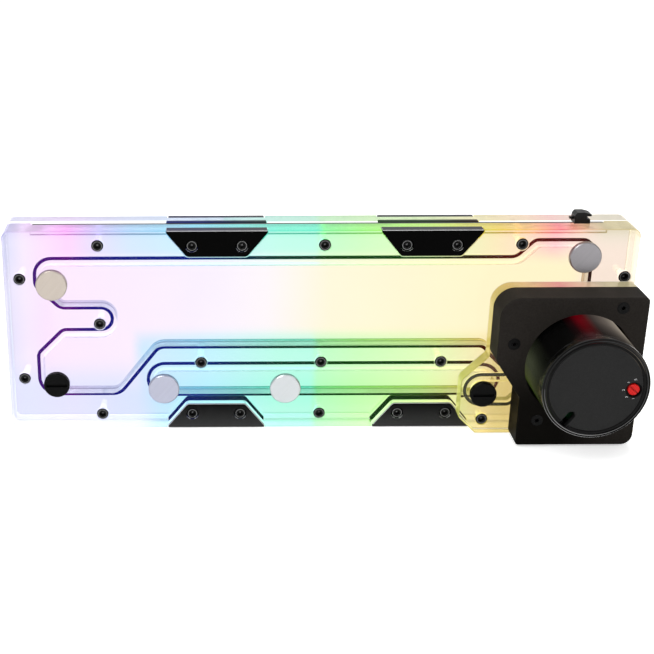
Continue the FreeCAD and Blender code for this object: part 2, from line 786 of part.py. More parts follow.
# Rotor: impeller disc and blades on a hollow drum that rides on the ball
drum_radius = can_inner_radius - rotor_gap
disc_low = rotor_disc_gap + rotor_disc_thickness
drum_end = can_depth - rotor_gap
drum_skin = drum_radius - magnet_skin
cup_radius = ball_radius + ball_clearance
rotor = turned([
    (0.0, -disc_low), (rotor_disc_radius, -disc_low), (rotor_disc_radius, -rotor_disc_gap),
    (drum_radius, -rotor_disc_gap), (drum_radius, drum_end), (rotor_skirt, drum_end),
    (cup_radius, ball_distance + 2.0), (cup_radius, ball_distance), (0.0, ball_distance),
])
rotor = rotor.cut(Part.makeSphere(cup_radius, Vector(pump_x, block_y - ball_distance, pump_z)))
magnet_start = drum_end - magnet_length
magnet_inner = drum_skin - magnet_wall
magnet = tube(pump_x, pump_z, magnet_inner, drum_skin, block_y - drum_end, block_y - magnet_start)
rotor = rotor.cut(magnet)
blade_low = block_y + disc_low
sweep = math.radians(blade_sweep)
for i in range(blade_count):
    turn = 2 * math.pi * i / blade_count
    inner_face = []
    outer_face = []
    for step in range(9):
        share = step / 8
        radius = blade_inner + (rotor_disc_radius - blade_inner) * share
        angle = turn + sweep * share
        for points, side in ((inner_face, -1.0), (outer_face, 1.0)):
            around_here = angle + side * blade_thickness / 2 / radius
            blade_x = pump_x + radius * math.cos(around_here)
            blade_z = pump_z + radius * math.sin(around_here)
            points.append(Vector(blade_x, blade_low, blade_z))
    side_a = Part.BSplineCurve()
    side_a.interpolate(inner_face)
    side_b = Part.BSplineCurve()
    side_b.interpolate(outer_face[::-1])
    end_edge = Part.LineSegment(inner_face[-1], outer_face[-1]).toShape()
    start_edge = Part.LineSegment(outer_face[0], inner_face[0]).toShape()
    outline = Part.Wire([side_a.toShape(), end_edge, side_b.toShape(), start_edge])
    blade = Part.Face(outline).extrude(Vector(0, blade_height, 0))
    rotor = rotor.fuse(blade)
save("impeller", rotor)
save("rotor_magnet", magnet)

# Motor housing: shell with a flange under the pump plate and a ledge that carries the end cap
bore = housing_radius - housing_wall
rim = housing_radius - housing_bevel
cap_seat = motor_length - cap_setback - cap_thickness
ledge_radius = cap_radius - ledge_width
housing = turned([
    (can_flange_radius + cap_play, 0.0), (housing_flange_radius, 0.0),
    (housing_flange_radius, housing_flange_height), (housing_radius, housing_flange_height),
    (housing_radius, motor_length - housing_bevel), (rim, motor_length),
    (cap_radius + cap_play, motor_length), (cap_radius + cap_play, cap_seat),
    (ledge_radius, cap_seat), (ledge_radius, cap_seat - ledge_height),
    (bore, cap_seat - ledge_height), (bore, can_flange_height),
    (can_flange_radius + cap_play, can_flange_height),
])
save("motor_housing", housing)

# Stator: laminated ring with teeth, and a coil round each tooth
yoke_outer = bore - stator_play
yoke_inner = yoke_outer - yoke_thickness
tip_radius = can_outer + can_to_tooth
tip_outer = tip_radius + tooth_tip_thickness
stator_back = block_y - stator_start
stator_front = block_y - stator_end
core = tube(pump_x, pump_z, yoke_inner, yoke_outer, stator_front, stator_back)
pump_centre = Vector(pump_x, 0, pump_z)
around = Vector(0, 1, 0)
coils = []
for i in range(tooth_count):
    angle = 360.0 * i / tooth_count
    half = tooth_width / 2
    root_x = pump_x + yoke_inner + 0.5
    tip_x = pump_x + tip_outer - 0.5
    tooth = box(tip_x, root_x, stator_front, stator_back, pump_z - half, pump_z + half)
    reach = 2 * tip_outer * math.sin(math.radians(tooth_tip_angle / 2))
    shoe = tube(pump_x, pump_z, tip_radius, tip_outer, stator_front, stator_back)
    shoe = shoe.common(
        box(pump_x, pump_x + tip_outer, stator_front, stator_back, pump_z - reach / 2, pump_z + reach / 2)
    )
    coil_half = half + coil_build
    coil_x = pump_x + tip_outer + 0.2
    coil = box(
        coil_x, coil_x + coil_length, stator_front - coil_build, stator_back + coil_build,
        pump_z - coil_half, pump_z + coil_half
    )
    window = box(
        coil_x - 1.0, coil_x + coil_length + 1.0, stator_front - coil_gap, stator_back + coil_gap,
        pump_z - half - coil_gap, pump_z + half + coil_gap
    )
    coil = coil.cut(window)
    tooth.rotate(pump_centre, around, angle)
    shoe.rotate(pump_centre, around, angle)
    coil.rotate(pump_centre, around, angle)
    core = core.fuse([tooth, shoe])
    coils.append(coil)
save("stator_core", core)
save("stator_coils", coils)

# End cap with its dial recess, the cable notch and three posts that carry the circuit board
dial_x = pump_x + dial_offset[0]
dial_z = pump_z + dial_offset[1]
cap_front_y = block_y - motor_length + cap_setback
cap_back_y = cap_front_y + cap_thickness
board_front_y = cap_back_y + post_length
cap = broken_edges(disc(pump_x, pump_z, cap_radius, cap_front_y, cap_back_y), cap_front_y, 0.3)
recess_y = cap_front_y + dial_recess_depth
turn = math.radians(notch_angle)
notch = box(
    pump_x + notch_inner + notch_width / 2, pump_x + cap_radius + 2.0, cap_front_y, cap_back_y,
    pump_z - notch_width / 2, pump_z + notch_width / 2
)
notch_end = disc(pump_x + notch_inner + notch_width / 2, pump_z, notch_width / 2, cap_front_y, cap_back_y)
notch = notch.fuse(notch_end)
notch.rotate(pump_centre, around, -notch_angle)
cap = cap.cut([
    disc(dial_x, dial_z, dial_recess_radius, cap_front_y, recess_y),
    disc(dial_x, dial_z, dial_stem_radius + 0.3, cap_front_y, cap_back_y),
    notch,
])
posts = []
for angle in (90.0, 200.0, 310.0):
    turn = math.radians(angle)
    post_x = pump_x + post_circle * math.cos(turn)
    post_z = pump_z + post_circle * math.sin(turn)
    posts.append(disc(post_x, post_z, post_thickness / 2, cap_back_y - 0.5, board_front_y))
cap = cap.fuse(posts)
save("end_cap", cap)

# Circuit board with the speed control under the dial and a few components
board = disc(pump_x, pump_z, board_radius, board_front_y, board_front_y + board_thickness)
trimmer_top = cap_back_y + 1.2
trimmer = disc(dial_x, dial_z, trimmer_radius, trimmer_top, board_front_y)
socket_end = board_front_y + 0.2
socket = disc(dial_x, dial_z, dial_stem_radius + dial_stem_play, trimmer_top, socket_end)
board_pieces = [trimmer.fuse(board).cut(socket)]
components = []
grid = board_radius / 11
for x_step, z_step, size in ((-3.6, 3.2, 4.0), (-0.8, 3.6, 4.0), (2.0, 3.2, 3.0)):
    x = pump_x + x_step * grid
    z = pump_z + z_step * grid
    components.append(disc(x, z, size / 2, board_front_y - 4.0, board_front_y))
for x_step, z_step, wide, high in ((-3.2, -2.4, 3.6, 3.6), (2.4, -4.0, 2.4, 1.8)):
    x = pump_x + x_step * grid
    z = pump_z + z_step * grid
    components.append(box(x, x + wide * grid, board_front_y - 1.4, board_front_y, z, z + high * grid))
save("control_board", board_pieces)
save("board_components", components)

# Speed dial: turned with a screwdriver, its stem runs in the speed control on the board
dial_back = recess_y - 0.25
dial_front = dial_back - dial_height
head = broken_edges(disc(dial_x, dial_z, dial_radius, dial_front, dial_back), dial_front, 0.3)
stem_end = dial_back + dial_stem_length + 1.8
stem = disc(dial_x, dial_z, dial_stem_radius, dial_back, stem_end)
slot = box(
    dial_x - dial_radius, dial_x + dial_radius, dial_front, dial_front + dial_slot_depth,
    dial_z - dial_slot / 2, dial_z + dial_slot / 2
)
slot.rotate(Vector(dial_x, 0, dial_z), around, dial_slot_angle)
save("speed_dial", head.fuse(stem).cut(slot))
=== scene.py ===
import math

import bmesh
import bpy
from mathutils import Euler, Matrix, Vector


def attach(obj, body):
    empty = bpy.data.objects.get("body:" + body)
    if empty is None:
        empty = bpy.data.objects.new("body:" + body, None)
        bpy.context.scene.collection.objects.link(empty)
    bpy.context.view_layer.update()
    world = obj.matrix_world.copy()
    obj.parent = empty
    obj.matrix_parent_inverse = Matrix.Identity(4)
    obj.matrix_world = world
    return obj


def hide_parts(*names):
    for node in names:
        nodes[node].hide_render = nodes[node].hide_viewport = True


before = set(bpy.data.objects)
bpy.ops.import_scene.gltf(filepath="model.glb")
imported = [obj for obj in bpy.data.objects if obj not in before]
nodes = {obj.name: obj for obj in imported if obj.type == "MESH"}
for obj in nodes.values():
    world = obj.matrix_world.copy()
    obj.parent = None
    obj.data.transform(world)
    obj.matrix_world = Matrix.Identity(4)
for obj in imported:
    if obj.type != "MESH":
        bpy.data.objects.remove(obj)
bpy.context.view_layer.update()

# Studio: a pale floor and a white surround, with three soft lamps. The camera stands a little
# left of the plate's middle and looks down on it, as in the photograph.
scene = bpy.context.scene
scene.view_settings.view_transform = "Standard"


def srgb(red, green, blue):
    """Colour written in screen values from 0 to 1, as Blender's linear colour."""
    return tuple(c / 12.92 if c < 0.04045 else ((c + 0.055) / 1.055) ** 2.4 for c in (red, green, blue)) + (1.0,)


def node_tree(owner):
    """Cleared node tree of a material or world."""
    owner.use_nodes = True
    owner.node_tree.nodes.clear()
    return owner.node_tree


def feed(tree, value, socket):
    """Sets a socket to a number or a colour, or links another node's output to it."""
    if isinstance(value, (int, float, tuple)):
        socket.default_value = value
    else:
        tree.links.new(value, socket)


def formula(tree, operation, first, second=0.0):
    """Output of a math node."""
    node = tree.nodes.new("ShaderNodeMath")
    node.operation = operation
    feed(tree, first, node.inputs[0])
    feed(tree, second, node.inputs[1])
    return node.outputs[0]


def glowing(tree, kind, strength):
    """White Background or Emission shader of this strength."""
    node = tree.nodes.new("ShaderNode" + kind)
    node.inputs["Color"].default_value = (1.0, 1.0, 1.0, 1.0)
    feed(tree, strength, node.inputs["Strength"])
    return node.outputs[0]


def chosen(tree, share, first, second):
    """Mix of two shaders: the second where the share is 1."""
    node = tree.nodes.new("ShaderNodeMixShader")
    for source, socket in zip((share, first, second), node.inputs):
        tree.links.new(source, socket)
    return node.outputs[0]


def close_tree(tree, shader, kind="Material"):
    """Sends a shader to the output of a material or world."""
    output = tree.nodes.new("ShaderNodeOutput" + kind)
    tree.links.new(shader, output.inputs["Surface"])


def seen_directly(tree):
    """1 for a ray from the camera, or one that gloss or glass sends on, else 0."""
    path = tree.nodes.new("ShaderNodeLightPath").outputs
    camera_or_gloss = formula(tree, "MAXIMUM", path["Is Camera Ray"], path["Is Glossy Ray"])
    return formula(tree, "MAXIMUM", camera_or_gloss, path["Is Transmission Ray"])


surround = bpy.data.worlds.new("white_surround")
scene.world = surround
tree = node_tree(surround)
room_light = glowing(tree, "Background", 0.45)
white_paper = glowing(tree, "Background", 1.0)
close_tree(tree, chosen(tree, seen_directly(tree), room_light, white_paper), "World")

floor_reach = 6.0
floor_drop = 0.0006
floor_mesh = bpy.data.meshes.new("floor")
floor_mesh.from_pydata(
    [(x * floor_reach, y * floor_reach, 0.0) for x, y in ((-1, -1), (1, -1), (1, 1), (-1, 1))], [], [(0, 1, 2, 3)]
)
floor = bpy.data.objects.new("floor", floor_mesh)
floor.location.z = -floor_drop
scene.collection.objects.link(floor)
floor_paint = bpy.data.materials.new("floor_paper")
tree = node_tree(floor_paint)
matt = tree.nodes.new("ShaderNodeBsdfPrincipled")
matt.inputs["Base Color"].default_value = (0.92, 0.92, 0.92, 1.0)
matt.inputs["Roughness"].default_value = 0.9
lift = glowing(tree, "Emission", formula(tree, "MULTIPLY", seen_directly(tree), 0.5))
lit_paper = tree.nodes.new("ShaderNodeAddShader")
tree.links.new(matt.outputs[0], lit_paper.inputs[0])
tree.links.new(lift, lit_paper.inputs[1])
path = tree.nodes.new("ShaderNodeLightPath").outputs
through_glass = glowing(tree, "Emission", 1.0)
close_tree(tree, chosen(tree, path["Is Transmission Ray"], lit_paper.outputs[0], through_glass))
floor.data.materials.append(floor_paint)

for lamp_name, place, target, size, watts in (
    ("key_lamp", (-0.7, -1.0, 1.3), (0.0, 0.0, 0.05), 0.9, 16.0),
    ("fill_lamp", (0.9, -1.1, 0.9), (0.05, 0.0, 0.05), 0.8, 8.0),
    ("top_lamp", (0.0, 0.5, 1.5), (0.0, 0.0, 0.05), 1.0, 12.0),
):
    lamp = bpy.data.lights.new(lamp_name, "AREA")
    lamp.size = size
    lamp.energy = watts
    holder = bpy.data.objects.new(lamp_name, lamp)
    holder.location = place
    holder.rotation_euler = (Vector(target) - Vector(place)).to_track_quat("-Z", "Y").to_euler()
    scene.collection.objects.link(holder)

picture_width = 654.0
focal_length = 1274.0
optical_middle = 193.1
look_down = 21.715
lean = -0.24
lens = bpy.data.cameras.new("camera")
lens.sensor_width = 36.0
lens.lens = focal_length * lens.sensor_width / picture_width
lens.shift_x = (picture_width / 2.0 - optical_middle) / picture_width
lens.clip_start = 0.01
camera = bpy.data.objects.new("camera", lens)
camera.matrix_world = (
    Matrix.Translation((-0.0801, -0.7431, 0.3741))
    @ Euler((math.radians(90.0 - look_down), 0.0, 0.0)).to_matrix().to_4x4()
    @ Matrix.Rotation(math.radians(lean), 4, "Z")
)
scene.collection.objects.link(camera)
scene.camera = camera

# Acrylic plates and pump block: clear cast sheet, polished on its faces and matt where it was sawn
# or milled. Light from the strip in its top edge spreads through it and shows at every wall; that light
# is painted on as glow and as a tint of the clear colour, with painted pale pools, seams and dark bands.
half_length = 0.2
sheet_height = 0.136
joint_y = 0.0345
slot_foot = 0.1300


def dress(material, *names):
    """Gives these CAD nodes one material."""
    for name in names:
        nodes[name].data.materials.clear()
        nodes[name].data.materials.append(material)


def new_group(name, inputs, outputs):
    """Empty shader node group with named sockets, and its input and output nodes."""
    group = bpy.data.node_groups.new(name, "ShaderNodeTree")
    for label, value in inputs.items():
        socket = group.interface.new_socket(label, in_out="INPUT", socket_type="NodeSocketFloat")
        socket.default_value = value
    for label, kind in outputs.items():
        group.interface.new_socket(label, in_out="OUTPUT", socket_type="NodeSocket" + kind)
    return group, group.nodes.new("NodeGroupInput").outputs, group.nodes.new("NodeGroupOutput").inputs


def use_group(tree, group, **values):
    """Outputs of a group placed in a material with its own values."""
    node = tree.nodes.new("ShaderNodeGroup")
    node.node_tree = group
    for label, value in values.items():
        feed(tree, value, node.inputs[label.replace("_", " ")])
    return node.outputs


def blended(tree, share, first, second):
    """Output of a mix from the first colour to the second."""
    node = tree.nodes.new("ShaderNodeMix")
    node.data_type = "RGBA"
    feed(tree, share, node.inputs[0])
    feed(tree, first, node.inputs[6])
    feed(tree, second, node.inputs[7])
    return node.outputs[2]


def times(tree, first, second):
    """Output of two colours, or a colour and a value, multiplied."""
    node = tree.nodes.new("ShaderNodeVectorMath")
    node.operation = "MULTIPLY"
    feed(tree, first, node.inputs[0])
    feed(tree, second, node.inputs[1])
    return node.outputs[0]


def ramp_of(tree, value, *stops):
    """Output of a colour ramp with (position, colour or grey) stops."""
    node = tree.nodes.new("ShaderNodeValToRGB")
    while len(node.color_ramp.elements) < len(stops):
        node.color_ramp.elements.new(0.5)
    for element, (where, colour) in zip(node.color_ramp.elements, stops):
        element.position = where
        element.color = colour if isinstance(colour, tuple) else (colour, colour, colour, 1.0)
    tree.links.new(value, node.inputs[0])
    return node.outputs[0]


def place_in_part(tree):
    """X, Y and Z of the shaded point in the part's own frame."""
    place = tree.nodes.new("ShaderNodeTexCoord")
    parts = tree.nodes.new("ShaderNodeSeparateXYZ")
    tree.links.new(place.outputs["Object"], parts.inputs[0])
    return parts.outputs


def wall_mask(tree):
    """1 on walls that run from front to back, 0 on the faces that look to the front or back."""
    surface = tree.nodes.new("ShaderNodeNewGeometry")
    facing = tree.nodes.new("ShaderNodeSeparateXYZ")
    tree.links.new(surface.outputs["True Normal"], facing.inputs[0])
    return formula(tree, "LESS_THAN", formula(tree, "ABSOLUTE", facing.outputs["Y"]), 0.9)


def inside_box(tree, x, z, low_x, high_x, low_z, high_z, softness):
    """1 inside a box in X and Z, falling to 0 across its soft edge."""
    nearest = formula(tree, "MINIMUM", formula(tree, "SUBTRACT", x, low_x), formula(tree, "SUBTRACT", high_x, x))
    upright = formula(tree, "MINIMUM", formula(tree, "SUBTRACT", z, low_z), formula(tree, "SUBTRACT", high_z, z))
    nearest = formula(tree, "MINIMUM", nearest, upright)
    node = tree.nodes.new("ShaderNodeMapRange")
    node.interpolation_type = "SMOOTHSTEP"
    feed(tree, nearest, node.inputs["Value"])
    node.inputs["From Min"].default_value = 0.0
    node.inputs["From Max"].default_value = softness
    return node.outputs[0]


def along_sheet(tree, x):
    """0 at the left end of the sheet, 1 at the right end."""
    return formula(tree, "MULTIPLY", formula(tree, "ADD", x, half_length), 0.5 / half_length)


def relief(tree, shader, height, strength, distance):
    """Lets a height bend the light on a shader's surface."""
    bump = tree.nodes.new("ShaderNodeBump")
    bump.inputs["Strength"].default_value = strength
    bump.inputs["Distance"].default_value = distance
    tree.links.new(height, bump.inputs["Height"])
    tree.links.new(bump.outputs[0], shader.inputs["Normal"])


strip_colours, given, put = new_group("strip_colours", {"Strength": 1.0}, {"Colour": "Color"})
run = ramp_of(
    strip_colours, along_sheet(strip_colours, place_in_part(strip_colours)["X"]),
    (0.00, srgb(0.74, 0.76, 0.96)), (0.03, srgb(0.94, 0.84, 0.99)), (0.10, srgb(1.00, 0.66, 1.00)),
    (0.145, srgb(0.82, 0.76, 1.00)), (0.20, srgb(0.66, 0.84, 1.00)), (0.31, srgb(0.50, 0.90, 1.00)),
    (0.44, srgb(0.36, 0.98, 0.84)), (0.495, srgb(0.33, 0.98, 0.83)), (0.505, srgb(0.46, 0.99, 0.58)),
    (0.57, srgb(0.60, 1.00, 0.42)), (0.67, srgb(0.78, 0.99, 0.36)), (0.78, srgb(0.96, 0.84, 0.14)),
    (0.83, srgb(1.00, 0.76, 0.42)), (0.875, srgb(0.99, 0.46, 0.50)), (0.915, srgb(0.96, 0.76, 0.62)),
    (0.95, srgb(0.82, 0.76, 0.54)),
)
strip_colours.links.new(blended(strip_colours, given["Strength"], (1.0, 1.0, 1.0, 1.0), run), put["Colour"])

edge_lit, given, put = new_group(
    "edge_lit",
    {
        "Strength": 1.0, "Milk": 0.1, "Wall Strength": 1.0, "Wall Milk": 0.4, "Pocket": 1.0, "Glow Level": 0.85,
        "Clarity": 0.9, "Face Glow": 1.0,
    },
    {"Tint": "Color", "Glow": "Color", "Wall": "Float", "Height": "Float"},
)
x, y, z = place_in_part(edge_lit)
wall = wall_mask(edge_lit)
not_wall = formula(edge_lit, "SUBTRACT", 1.0, wall)
# Painted light: the sheet's glow rises and falls in bands with height.
zone = ramp_of(
    edge_lit, formula(edge_lit, "MULTIPLY", z, 1.0 / sheet_height),
    (0.00, 0.56), (0.06, 0.56), (0.12, 0.66), (0.20, 0.60), (0.30, 0.50), (0.37, 0.52), (0.42, 0.60),
    (0.80, 0.50), (0.93, 0.45), (1.00, 0.75),
)
outside = formula(edge_lit, "MULTIPLY", zone, given["Strength"])
inner_depth = edge_lit.nodes.new("ShaderNodeMapRange")
inner_depth.inputs["From Min"].default_value = 0.0225
inner_depth.inputs["From Max"].default_value = joint_y - 0.0005
inner_depth.inputs["To Min"].default_value = 0.45
edge_lit.links.new(y, inner_depth.inputs["Value"])
inner_depth = formula(
    edge_lit, "MAXIMUM", inner_depth.outputs[0], formula(edge_lit, "GREATER_THAN", z, slot_foot)
)
inner_depth = formula(edge_lit, "MAXIMUM", inner_depth, formula(edge_lit, "LESS_THAN", y, 0.0160))
walls = formula(edge_lit, "MULTIPLY", wall, given["Wall Strength"])
walls = formula(edge_lit, "MAXIMUM", outside, formula(edge_lit, "MULTIPLY", walls, inner_depth))
top_edge = formula(edge_lit, "GREATER_THAN", z, sheet_height - 0.0005)
rear_edge = formula(edge_lit, "MULTIPLY", top_edge, formula(edge_lit, "GREATER_THAN", y, joint_y - 0.0001))
bottom_left = inside_box(edge_lit, x, z, -0.21, -0.10, -0.04, 0.045, 0.020)
left_walls = inside_box(edge_lit, x, z, -0.23, -0.112, -0.06, 0.104, 0.018)
bottom_left = formula(edge_lit, "MAXIMUM", bottom_left, formula(edge_lit, "MULTIPLY", left_walls, wall))
pale = formula(edge_lit, "SUBTRACT", 1.0, formula(edge_lit, "MULTIPLY", rear_edge, 0.5))
walls = formula(edge_lit, "MULTIPLY", walls, pale)
solid = use_group(edge_lit, strip_colours, Strength=walls)["Colour"]
# Painted light: a yellow pool where the pump's foot stands, pale pools at both ends and in the water pockets.
foot = inside_box(edge_lit, x, z, 0.110, 0.22, -0.02, 0.056, 0.010)
foot = formula(edge_lit, "MULTIPLY", foot, 0.8)
foot_colour = blended(edge_lit, wall, srgb(0.93, 0.88, 0.62), srgb(0.76, 0.74, 0.40))
solid = blended(edge_lit, foot, solid, foot_colour)
right_end = inside_box(edge_lit, x, z, 0.148, 0.24, 0.03, 0.1352, 0.018)
right_end = formula(edge_lit, "MULTIPLY", formula(edge_lit, "MULTIPLY", right_end, not_wall), 0.7)
solid = blended(edge_lit, right_end, solid, srgb(1.0, 0.93, 0.89))
left_end = inside_box(edge_lit, x, z, -0.24, -0.13, -0.04, 0.118, 0.018)
left_end = formula(edge_lit, "MULTIPLY", formula(edge_lit, "MULTIPLY", left_end, not_wall), 0.45)
solid = blended(edge_lit, left_end, solid, srgb(0.98, 0.95, 1.0))
long_pocket = inside_box(edge_lit, x, z, -0.178, 0.175, 0.054, 0.120, 0.010)
left_pocket = inside_box(edge_lit, x, z, -0.178, -0.112, 0.019, 0.075, 0.010)
pocket = formula(edge_lit, "MAXIMUM", long_pocket, left_pocket)
pocket = formula(edge_lit, "MULTIPLY", pocket, not_wall)
pocket = formula(edge_lit, "MULTIPLY", pocket, given["Pocket"])
water_light = ramp_of(
    edge_lit, along_sheet(edge_lit, x),
    (0.05, srgb(0.99, 0.93, 1.00)), (0.30, srgb(0.98, 0.95, 1.00)), (0.42, srgb(0.99, 0.97, 0.98)),
    (0.52, srgb(1.00, 0.975, 0.89)), (0.75, srgb(1.00, 0.97, 0.84)), (1.00, srgb(1.00, 0.96, 0.83)),
)
colour = blended(edge_lit, pocket, solid, water_light)
# Painted light and shade: a bright seam at the rear top edge; the painted glow is dimmed on the left end face, at the
# joint and along the lower edge.
seam_width = formula(edge_lit, "MULTIPLY", formula(edge_lit, "LESS_THAN", x, -0.09), 0.0030)
seam_depth = formula(edge_lit, "ADD", seam_width, joint_y + 0.0014)
seam = formula(edge_lit, "MULTIPLY", rear_edge, formula(edge_lit, "LESS_THAN", y, seam_depth))
end_face = formula(edge_lit, "MULTIPLY", formula(edge_lit, "LESS_THAN", x, 0.0015 - half_length), 0.24)
dimmed = formula(edge_lit, "MAXIMUM", formula(edge_lit, "MULTIPLY", rear_edge, 0.36), end_face)
joint_line = formula(edge_lit, "MULTIPLY", formula(edge_lit, "GREATER_THAN", y, joint_y - 0.0006), wall)
joint_line = formula(edge_lit, "MULTIPLY", joint_line, formula(edge_lit, "LESS_THAN", y, joint_y + 0.0001))
joint_line = formula(edge_lit, "MULTIPLY", joint_line, formula(edge_lit, "LESS_THAN", z, slot_foot))
dimmed = formula(edge_lit, "MAXIMUM", dimmed, formula(edge_lit, "MULTIPLY", joint_line, 0.7))
lower_edge = formula(edge_lit, "LESS_THAN", z, 0.0012)
dimmed = formula(edge_lit, "MAXIMUM", dimmed, formula(edge_lit, "MULTIPLY", lower_edge, 0.35))
dimmed = formula(edge_lit, "SUBTRACT", 1.0, dimmed)
colour = times(edge_lit, colour, dimmed)
# Painted light: a cool tint along the rear top edge at the left and a pale blue pool at the lower left.
cool = formula(edge_lit, "MULTIPLY", rear_edge, formula(edge_lit, "LESS_THAN", x, -0.06))
colour = blended(edge_lit, formula(edge_lit, "MULTIPLY", cool, 0.5), colour, srgb(0.76, 0.77, 0.88))
colour = blended(edge_lit, formula(edge_lit, "MULTIPLY", seam, 0.9), colour, (1.15, 1.15, 1.15, 1.0))
colour = blended(edge_lit, formula(edge_lit, "MULTIPLY", bottom_left, 0.8), colour, srgb(0.90, 0.92, 1.0))
place = edge_lit.nodes.new("ShaderNodeTexCoord")
cloud = edge_lit.nodes.new("ShaderNodeTexNoise")
cloud.inputs["Scale"].default_value = 22.0
cloud.inputs["Detail"].default_value = 1.0
edge_lit.links.new(place.outputs["Object"], cloud.inputs["Vector"])
uneven = formula(edge_lit, "ADD", formula(edge_lit, "MULTIPLY", cloud.outputs["Fac"], 0.3), 0.85)
milk = formula(edge_lit, "MAXIMUM", given["Milk"], formula(edge_lit, "MULTIPLY", wall, given["Wall Milk"]))
milk = formula(edge_lit, "MULTIPLY", milk, uneven)
milk = formula(edge_lit, "MAXIMUM", milk, formula(edge_lit, "MULTIPLY", top_edge, 0.62))
milk = formula(edge_lit, "MAXIMUM", milk, formula(edge_lit, "MULTIPLY", rear_edge, 0.86))
clear = formula(edge_lit, "SUBTRACT", 1.0, milk)
clear = formula(edge_lit, "MULTIPLY", clear, clear)
glow_level = formula(edge_lit, "MULTIPLY", milk, given["Glow Level"])
face_glow = formula(edge_lit, "MULTIPLY", formula(edge_lit, "SUBTRACT", given["Face Glow"], 1.0), not_wall)
face_glow = formula(edge_lit, "ADD", face_glow, 1.0)
glow_level = formula(edge_lit, "MULTIPLY", glow_level, face_glow)
# Glow is the strip's light painted on as emission; Tint is the same light painted into the clear colour.
edge_lit.links.new(times(edge_lit, colour, glow_level), put["Glow"])
whitening = formula(edge_lit, "SUBTRACT", 0.55, formula(edge_lit, "MULTIPLY", wall, 0.5))
tinted = blended(edge_lit, whitening, colour, (1.0, 1.0, 1.0, 1.0))
tint_level = formula(edge_lit, "MULTIPLY", clear, given["Clarity"])
edge_lit.links.new(times(edge_lit, tinted, tint_level), put["Tint"])
edge_lit.links.new(wall, put["Wall"])
stretch = times(edge_lit, place.outputs["Object"], (1.0, 6.0, 1.0))
marks = edge_lit.nodes.new("ShaderNodeTexNoise")
marks.inputs["Scale"].default_value = 420.0
marks.inputs["Detail"].default_value = 2.0
edge_lit.links.new(stretch, marks.inputs["Vector"])
edge_lit.links.new(formula(edge_lit, "MULTIPLY", marks.outputs["Fac"], wall), put["Height"])


def acrylic(name, wall_roughness, shine, **look):
    """Clear acrylic with a painted glow and tint of the strip's light, matt on milled and sawn walls."""
    material = bpy.data.materials.new(name)
    tree = node_tree(material)
    shader = tree.nodes.new("ShaderNodeBsdfPrincipled")
    shader.inputs["Transmission Weight"].default_value = 1.0
    shader.inputs["IOR"].default_value = 1.49
    shader.inputs["Specular IOR Level"].default_value = shine
    shader.inputs["Specular Tint"].default_value = (0.12, 0.12, 0.12, 1.0)
    shader.inputs["Emission Strength"].default_value = 1.0
    lit = use_group(tree, edge_lit, **look)
    tree.links.new(lit["Tint"], shader.inputs["Base Color"])
    tree.links.new(lit["Glow"], shader.inputs["Emission Color"])
    tree.links.new(formula(tree, "MULTIPLY", lit["Wall"], wall_roughness), shader.inputs["Roughness"])
    relief(tree, shader, lit["Height"], 0.25, 0.0003)
    path = tree.nodes.new("ShaderNodeLightPath").outputs
    clear = tree.nodes.new("ShaderNodeBsdfTransparent")
    clear.inputs["Color"].default_value = (0.93, 0.93, 0.95, 1.0)
    close_tree(tree, chosen(tree, path["Is Shadow Ray"], shader.outputs[0], clear.outputs[0]))
    return material


back_acrylic = acrylic(
    "back_acrylic", 0.25, 0.06, Strength=0.88, Milk=0.45, Wall_Milk=0.5, Face_Glow=1.5
)
front_acrylic = acrylic("front_acrylic", 0.2, 0.04, Strength=1.0, Milk=0.004, Wall_Milk=0.45)
block_acrylic = acrylic(
    "block_acrylic", 0.08, 0.12, Strength=0.8, Milk=0.03, Wall_Strength=0.84, Wall_Milk=0.8, Pocket=0.0,
    Glow_Level=0.61,
)
dress(back_acrylic, "back_plate")
dress(front_acrylic, "front_plate")
dress(block_acrylic, "pump_block")
for name in ("back_plate", "front_plate", "pump_block"):
    gap = nodes[name].modifiers.new("hairline_gap", "DISPLACE")
    gap.strength = -0.00003
    gap.mid_level = 0.0

# Seals: black rubber cord laid in the grooves between the plates, and moulded rings under the
# block and the plugs. The cords carry a painted glow of the coloured light of the sheet round them.
surface_grain, given, put = new_group(
    "surface_grain", {"Scale": 900.0, "Smudge Scale": 35.0}, {"Grain": "Float", "Smudge": "Float"}
)
place = surface_grain.nodes.new("ShaderNodeTexCoord")
for label, scale, detail in (("Grain", given["Scale"], 3.0), ("Smudge", given["Smudge Scale"], 2.0)):
    specks = surface_grain.nodes.new("ShaderNodeTexNoise")
    specks.inputs["Detail"].default_value = detail
    surface_grain.links.new(place.outputs["Object"], specks.inputs["Vector"])
    surface_grain.links.new(scale, specks.inputs["Scale"])
    surface_grain.links.new(specks.outputs["Fac"], put[label])

# Painted glow: the strip's colours, deepened, that parts near the sheet give off as emission.
caught_light, given, put = new_group("caught_light", {"Amount": 0.1}, {"Colour": "Color"})
colour = use_group(caught_light, strip_colours, Strength=1.0)["Colour"]
squared = times(caught_light, colour, colour)
deep = times(caught_light, times(caught_light, squared, squared), squared)
deep = times(caught_light, deep, (1.0, 0.5, 2.0))
caught_light.links.new(times(caught_light, deep, given["Amount"]), put["Colour"])


